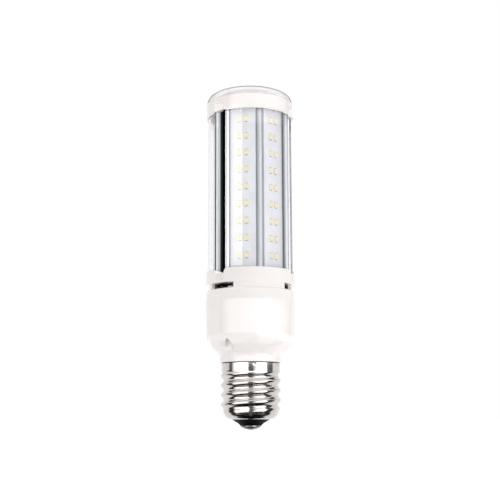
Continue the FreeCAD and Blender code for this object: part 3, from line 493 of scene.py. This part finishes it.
def chipColumns(c):
    tree, given = newGroup("chip columns", {
        "Rows": "Int", "Columns": "Int", "Row Pitch": "Float", "Column Pitch": "Float", "First Row": "Float",
        "Along": "Float", "Out": "Float", "Turn": "Float"})
    upGaps = add(tree, "ShaderNodeMath", {"operation": "SUBTRACT"}, {0: given["Rows"], 1: 1.0})
    sideGaps = add(tree, "ShaderNodeMath", {"operation": "SUBTRACT"}, {0: given["Columns"], 1: 1.0})
    rise = add(tree, "ShaderNodeMath", {"operation": "MULTIPLY"}, {0: upGaps, 1: given["Row Pitch"]})
    span = add(tree, "ShaderNodeMath", {"operation": "MULTIPLY"}, {0: sideGaps, 1: given["Column Pitch"]})
    grid = add(tree, "GeometryNodeMeshGrid", inputs={
        "Size X": span, "Size Y": rise, "Vertices X": given["Columns"], "Vertices Y": given["Rows"]})
    middle = add(tree, "ShaderNodeMath", {"operation": "MULTIPLY_ADD"}, {
        0: rise, 1: 0.5, 2: given["First Row"]})
    front = add(tree, "ShaderNodeMath", {"operation": "MULTIPLY"}, {0: given["Out"], 1: -1.0})
    centre = add(tree, "ShaderNodeCombineXYZ", inputs={0: given["Along"], 1: front, 2: middle})
    upright = add(tree, "GeometryNodeTransform", inputs={
        "Geometry": grid, "Rotation": (math.pi / 2, 0, 0), "Translation": centre})
    placed = add(tree, "GeometryNodeInstanceOnPoints", inputs={
        "Points": upright, "Instance": oneChip(tree, c)})
    about = add(tree, "ShaderNodeCombineXYZ", inputs={2: given["Turn"]})
    closeGroup(tree, add(tree, "GeometryNodeTransform", inputs={"Geometry": placed, "Rotation": about}))
    return tree


def chipRing(c):
    tree, given = newGroup("chip ring", {"Count": "Int", "Circle": "Float", "Height": "Float"})
    circle = add(tree, "GeometryNodeMeshCircle", inputs={
        "Vertices": given["Count"], "Radius": given["Circle"]})
    step = add(tree, "ShaderNodeMath", {"operation": "DIVIDE"}, {0: 2 * math.pi, 1: given["Count"]})
    number = add(tree, "GeometryNodeInputIndex")
    angle = add(tree, "ShaderNodeMath", {"operation": "MULTIPLY_ADD"}, {0: number, 1: step, 2: math.pi / 2})
    facing = add(tree, "ShaderNodeCombineXYZ", inputs={2: angle})
    lying = add(tree, "GeometryNodeTransform", inputs={
        "Geometry": oneChip(tree, c), "Rotation": (-math.pi / 2, 0, 0)})
    placed = add(tree, "GeometryNodeInstanceOnPoints", inputs={
        "Points": circle, "Instance": lying, "Rotation": facing})
    lift = add(tree, "ShaderNodeCombineXYZ", inputs={2: given["Height"]})
    closeGroup(tree, add(tree, "GeometryNodeTransform", inputs={
        "Geometry": placed, "Rotation": (0, 0, -math.pi / 2), "Translation": lift}))
    return tree


def chipPiece(name, node, tree, values):
    piece = grown(name, bpy.data.meshes.new(name + "_points"), tree, values)
    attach(piece, "root")
    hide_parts(node)


columns = chipColumns(chips)
for board in range(boardCount):
    side = 1 if board % 2 else -1  # a module's two boards face to its two sides
    chipPiece(f"chip_columns_{board + 1}", f"led_chips_{board + 1}", columns, {
        "Rows": chips["rows"], "Columns": chips["columns"], "Row Pitch": chips["rowPitch"] * mm,
        "Column Pitch": chips["columnPitch"] * mm, "First Row": chips["firstRow"] * mm,
        "Along": side * chips["middle"] * mm, "Out": chips["boardFace"] * mm,
        "Turn": math.radians(360 / moduleCount * (board // 2) + side * chips["facet"])})
chipPiece("chip_ring_top", "top_led_chips", chipRing(chips), {
    "Count": chips["topCount"], "Circle": chips["topCircle"] * mm, "Height": chips["topFace"] * mm})
print("chips are set out on", boardCount, "boards and the top one")

# Camera: below the middle of the lamp, looking slightly up
view = {"azimuth": -15.2, "elevation": -9.5, "distance": 0.644, "aimHeight": 119.9 * mm,
        "sideways": -0.14 * mm, "lens": 68.4, "sensor": 36.0, "roll": -0.23}


def direction(azimuth, elevation=0.0):  # azimuth 0 is -Y and grows towards +X, in degrees
    turn = math.radians(azimuth)
    rise = math.radians(elevation)
    return Vector((math.sin(turn) * math.cos(rise), -math.cos(turn) * math.cos(rise), math.sin(rise)))


toCamera = direction(view["azimuth"], view["elevation"])
imageRight = Vector((-toCamera.y, toCamera.x, 0)).normalized()
aim = Vector((0, 0, view["aimHeight"])) + imageRight * view["sideways"]
cameraData = bpy.data.cameras.new("camera")
cameraData.lens = view["lens"]
cameraData.sensor_width = view["sensor"]
camera = linked("camera", cameraData)
camera.location = aim + toCamera * view["distance"]
tilt = Quaternion((0, 0, 1), math.radians(view["roll"]))
camera.rotation_euler = ((-toCamera).to_track_quat("-Z", "Y") @ tilt).to_euler()
lampScene.camera = camera

# Studio: white surround and floor, with square soft boxes whose angles are taken from the camera's
studio = {"ambient": 0.79, "floorDrop": 80 * mm, "floorHalf": 6.0, "floor": "#f0f0f0",
          "floorGlow": 0.2, "floorSeen": 0.5}
softBoxes = {
    "left soft box": {"azimuth": -50.0, "elevation": 24.0, "distance": 1.2, "size": 0.7, "watts": 0.6},
    "right soft box": {"azimuth": 40.0, "elevation": 12.0, "distance": 1.3, "size": 0.9, "watts": 1.45},
    "low right soft box": {"azimuth": 62.0, "elevation": -14.0, "distance": 0.4, "size": 0.1, "watts": 0.18,
                           "aimHeight": 55 * mm},
}
for name, box in softBoxes.items():
    light = bpy.data.lights.new(name, "AREA")
    light.shape = "RECTANGLE"
    light.size = box["size"]
    light.size_y = box["size"]
    light.energy = box["watts"]
    lamp = linked(name, light)
    away = direction(view["azimuth"] + box["azimuth"], box["elevation"])
    lamp.location = Vector((0, 0, box.get("aimHeight", view["aimHeight"]))) + away * box["distance"]
    lamp.rotation_euler = (-away).to_track_quat("-Z", "Y").to_euler()
    lamp.visible_glossy = False


def whiteForSight(tree):  # 1 for rays that look at the surround, 0 for those that gather its light
    path = add(tree, "ShaderNodeLightPath").outputs
    first = add(tree, "ShaderNodeMath", {"operation": "MAXIMUM"}, {
        0: path["Is Camera Ray"], 1: path["Is Glossy Ray"]})
    return add(tree, "ShaderNodeMath", {"operation": "MAXIMUM"}, {0: first, 1: path["Is Transmission Ray"]})


white = linear("#ffffff")
surround = bpy.data.worlds.new("white surround")
surround.use_nodes = True
sky = surround.node_tree
sky.nodes.clear()
seen = add(sky, "ShaderNodeBackground", inputs={"Color": white, "Strength": 1.0})
gathered = add(sky, "ShaderNodeBackground", inputs={"Color": white, "Strength": studio["ambient"]})
chosen = add(sky, "ShaderNodeMixShader", inputs={0: whiteForSight(sky), 1: gathered, 2: seen})
add(sky, "ShaderNodeOutputWorld", inputs={"Surface": chosen})
lampScene.world = surround

floorMaterial, floorTree = newMaterial("white studio floor")
matte = add(floorTree, "ShaderNodeBsdfDiffuse", inputs={"Color": linear(studio["floor"])})
lift = add(floorTree, "ShaderNodeMath", {"operation": "MULTIPLY_ADD"}, {
    0: whiteForSight(floorTree), 1: studio["floorSeen"], 2: studio["floorGlow"]})
floorShine = add(floorTree, "ShaderNodeEmission", inputs={"Color": white, "Strength": lift})
floorLook = add(floorTree, "ShaderNodeAddShader", inputs={0: matte, 1: floorShine})
add(floorTree, "ShaderNodeOutputMaterial", inputs={"Surface": floorLook})


def sheetObject(name, corners, faces, material):
    mesh = bpy.data.meshes.new(name)
    mesh.from_pydata(corners, [], faces)
    mesh.materials.append(material)
    return linked(name, mesh)


half = studio["floorHalf"]
drop = -studio["floorDrop"]
corners = [(-half, -half, drop), (half, -half, drop), (half, half, drop), (-half, half, drop)]
floor = sheetObject("studio_floor", corners, [(0, 1, 2, 3)], floorMaterial)

litCard, cardTree = newMaterial("lit card")
cardGlow = add(cardTree, "ShaderNodeAttribute", {"attribute_name": "glow"}).outputs["Fac"]
cardShine = add(cardTree, "ShaderNodeEmission", inputs={"Strength": cardGlow})
add(cardTree, "ShaderNodeOutputMaterial", inputs={"Surface": cardShine})


# Cards bent round the lamp between two edges, each with its radius and height in mm, from one angle off
# the camera's to another; the glow fades over so many degrees at each end
floorLevel = drop / mm
discLevel = floorLevel + 2  # sheets just over the floor
collarLow = 35.2  # strips above this are mirrored in the shell's plain collar, and below it in its thread
stripTop = 45.2
sideTop = 46.0
cards = {
    # bright cards, mostly for the white plastic and the covers
    "card_front": {"turn": (-80.0, 125.0), "radius": (260, 260), "height": (42, 104), "glow": 3.7,
                   "fade": (28.0, 85.0)},
    "card_left": {"turn": (-61.0, -16.9), "radius": (80, 80), "height": (108.5, 227.5), "glow": 6.2},
    "card_high": {"turn": (-60.0, 130.0), "radius": (1400, 1400), "height": (625, 1100), "glow": 3.2,
                  "fade": (15.0, 60.0)},
    "card_under_right": {"turn": (10.0, 110.0), "radius": (260, 260), "height": (-40, 40), "glow": 4.0,
                         "fade": (10.0, 0.0)},
    # pale sides of the screw shell, and its three dark upright bands
    "card_soft": {"turn": (7.0, 24.0), "radius": (60, 60), "height": (2, sideTop), "glow": 2.4,
                  "fade": (17.0, 0.0)},
    "card_side_left": {"turn": (-175.0, -79.0), "radius": (60, 60), "height": (floorLevel, sideTop),
                       "glow": 1.08},
    "card_side_right": {"turn": (85.0, 175.0), "radius": (60, 60), "height": (floorLevel, sideTop),
                        "glow": 1.08},
    "strip_front": {"turn": (-7.7, 7.7), "radius": (43, 43), "height": (floorLevel, stripTop), "glow": 0.11},
    "strip_left": {"turn": (-74.5, -59.4), "radius": (43, 43), "height": (collarLow, stripTop), "glow": 0.12},
    "strip_right": {"turn": (51.8, 77.3), "radius": (43, 43), "height": (collarLow, stripTop), "glow": 0.1},
    "strip_thread_left": {"turn": (-86.0, -59.4), "radius": (43, 43), "height": (floorLevel, collarLow),
                          "glow": 0.02},
    "strip_thread_right": {"turn": (51.8, 82.1), "radius": (43, 43), "height": (floorLevel, collarLow),
                           "glow": 0.02},
    # dark cards behind the lamp; the first is seen through the lens and draws its edge
    "flag_behind": {"turn": (95.0, 265.0), "radius": (60, 60), "height": (226, 237), "glow": 0.05,
                    "through": True},
    "flag_behind_high": {"turn": (110.0, 250.0), "radius": (500, 500), "height": (400, 1200), "glow": 0.0},
    # level cards: one keeps card_left off the shell, the others lie round and under the lamp
    "card_shelf": {"turn": (-68.0, -10.0), "radius": (43, 81), "height": (107.5, 107.5), "glow": 0.65},
    "card_below": {"turn": (0.0, 360.0), "radius": (112, 600), "height": (discLevel, discLevel),
                   "glow": 1.75},
    # a dark disc as painted shade of the floor under the lamp, seen only in reflections
    "floor_shade_disc": {"turn": (0.0, 360.0), "radius": (0, 112), "height": (discLevel, discLevel), "glow": 0.0},
}


def studioCard(name, plan, steps=48):
    start, end = plan["turn"]
    fadeLeft, fadeRight = plan.get("fade", (0.0, 0.0))
    through = plan.get("through", False)
    corners = []
    glows = []
    for step in range(steps + 1):
        along = (end - start) * step / steps
        side = direction(view["azimuth"] + start + along)
        for radius, height in zip(plan["radius"], plan["height"]):
            corners.append((side.x * radius * mm, side.y * radius * mm, height * mm))
        left = min(1.0, along / fadeLeft) if fadeLeft else 1.0
        right = min(1.0, (end - start - along) / fadeRight) if fadeRight else 1.0
        glows += [plan["glow"] * left * right] * 2
    faces = [(2 * s, 2 * s + 2, 2 * s + 3, 2 * s + 1) for s in range(steps)]
    card = sheetObject(name, corners, faces, litCard)
    card.data.attributes.new("glow", "FLOAT", "POINT").data.foreach_set("value", glows)
    card.visible_camera = False
    card.visible_diffuse = False
    card.visible_shadow = False
    card.visible_glossy = not through  # seen in reflections alone, or else only through clear plastic
    card.visible_transmission = through


for name, plan in cards.items():
    studioCard(name, plan)
print("camera and studio are set")
